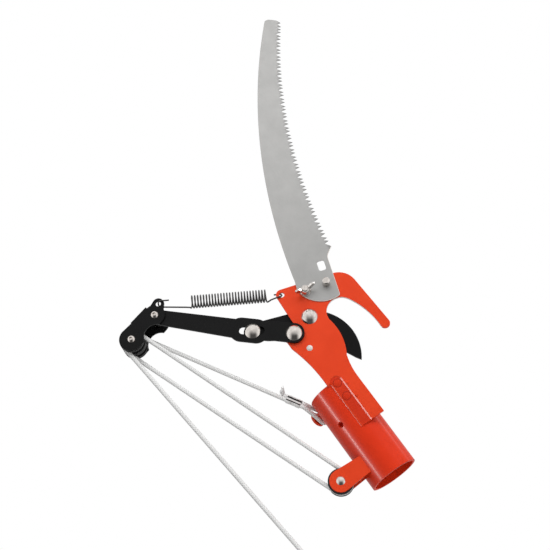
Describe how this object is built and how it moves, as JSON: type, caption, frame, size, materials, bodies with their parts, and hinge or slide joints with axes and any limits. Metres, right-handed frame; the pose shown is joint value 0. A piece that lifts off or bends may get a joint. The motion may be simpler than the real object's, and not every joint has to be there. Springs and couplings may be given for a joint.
{
  "type": "tree pruner head",
  "caption": "Pole-mounted tree pruner head: hook plate with bypass blade, slotted rope lever with pulleys and return spring, curved saw and tubular pole socket.",
  "frame": {"origin": "centre of the pole socket's open lower end, on the pole's axis", "axes": "+Z along the pole's axis towards the saw, +X towards the hook, -Y towards the viewer of the picture (the front of the plate)"},
  "size_m": [0.3177, 0.0629, 0.5437],
  "materials": {
    "red_paint": "satin orange-red powder coat",
    "black_paint": "satin black coat on steel",
    "bright_steel": "bright zinc or nickel plate",
    "saw_steel": "satin grey spring steel",
    "black_plastic": "black moulded nylon",
    "white_rope": "white braided cord",
    "dark_crimp": "dark crimped sleeve"
  },
  "bodies": {
    "head": {"hook_plate": "red_paint", "pole_socket": "red_paint", "tail_rivets": "red_paint", "pivot_rivet": "bright_steel", "pivot_washer": "bright_steel", "lever_rivet": "bright_steel", "stop_pin": "bright_steel", "saw_blade": "saw_steel", "saw_bolt": "bright_steel", "saw_washer": "bright_steel", "saw_stud": "bright_steel", "lower_bracket": "red_paint", "lower_axle": "bright_steel", "rope_stud": "red_paint", "rope_crimp": "dark_crimp", "rope_loop": "white_rope", "rope_wrap_lower": "white_rope"},
    "lever": {"lever_arm": "black_paint", "pulley_bracket": "black_paint", "bracket_screw": "bright_steel", "bracket_spacer": "bright_steel", "axle_screw": "bright_steel", "clamp_nuts": "bright_steel"},
    "blade": {"cutting_blade": "black_paint", "drive_rivet": "bright_steel"},
    "front_wheel": {"front_pulley": "black_plastic"},
    "rear_wheel": {"rear_pulley": "black_plastic"},
    "lower_wheel": {"lower_pulley": "black_plastic"},
    "clamp_wing": {"wing_nut": "bright_steel"},
    "spring": {"return_spring": "bright_steel"},
    "spring_end": {"spring_hook": "bright_steel"},
    "pull_rope": {"rope_strand_a": "white_rope", "rope_strand_b": "white_rope", "rope_strand_c": "white_rope", "rope_wrap_front": "white_rope", "rope_wrap_rear": "white_rope", "pull_line": "white_rope", "pull_knot": "white_rope", "hand_loop": "white_rope"}
  },
  "joints": [
    {"name": "lever_pivot", "type": "hinge", "parent": "head", "child": "lever", "pos_m": [-0.0005, -0.0264, 0.152], "axis": [0, -1, 0], "range_deg": [0, 70], "stiffness_Nm_per_rad": 0.8, "springref_deg": -22.92},
    {"name": "blade_pivot", "type": "hinge", "parent": "head", "child": "blade", "pos_m": [0.0205, -0.0205, 0.158], "axis": [0, -1, 0], "range_deg": [0, 45]},
    {"name": "front_wheel_spin", "type": "hinge", "parent": "lever", "child": "front_wheel", "pos_m": [-0.1253, -0.0199, 0.23481], "axis": [0, -1, 0], "continuous": true},
    {"name": "rear_wheel_spin", "type": "hinge", "parent": "lever", "child": "rear_wheel", "pos_m": [-0.1253, -0.0096, 0.23481], "axis": [0, -1, 0], "continuous": true},
    {"name": "lower_wheel_spin", "type": "hinge", "parent": "head", "child": "lower_wheel", "pos_m": [-0.043, -0.008, 0.02], "axis": [0, -1, 0], "continuous": true},
    {"name": "wing_nut_turn", "type": "hinge", "parent": "head", "child": "clamp_wing", "pos_m": [0.0315, -0.0295, 0.18], "axis": [0, -1, 0], "continuous": true},
    {"name": "spring_swing", "type": "hinge", "parent": "head", "child": "spring", "pos_m": [0.0118, -0.02345, 0.1903], "axis": [0, -1, 0], "range_deg": [0, 65]},
    {"name": "spring_stretch", "type": "slide", "parent": "spring", "child": "spring_end", "axis": [-0.8565, 0, 0.5162], "range_m": [0, 0.045], "deforming": ["return_spring", "spring_hook"]},
    {"name": "rope_pull", "type": "slide", "parent": "head", "child": "pull_rope", "axis": [0.025, 0, -0.9997], "range_m": [0, 0.173], "deforming": ["rope_strand_a", "rope_strand_b", "rope_strand_c", "rope_wrap_front", "rope_wrap_rear", "pull_line"]}
  ],
  "couplings": [
    {"joint": "blade_pivot", "follows": "lever_pivot", "ratio": 0.63},
    {"joint": "spring_swing", "follows": "lever_pivot", "ratio": 0.9118},
    {"joint": "spring_stretch", "follows": "lever_pivot", "m_per_rad": 0.03584},
    {"joint": "rope_pull", "follows": "lever_pivot", "m_per_rad": 0.14063}
  ]
}
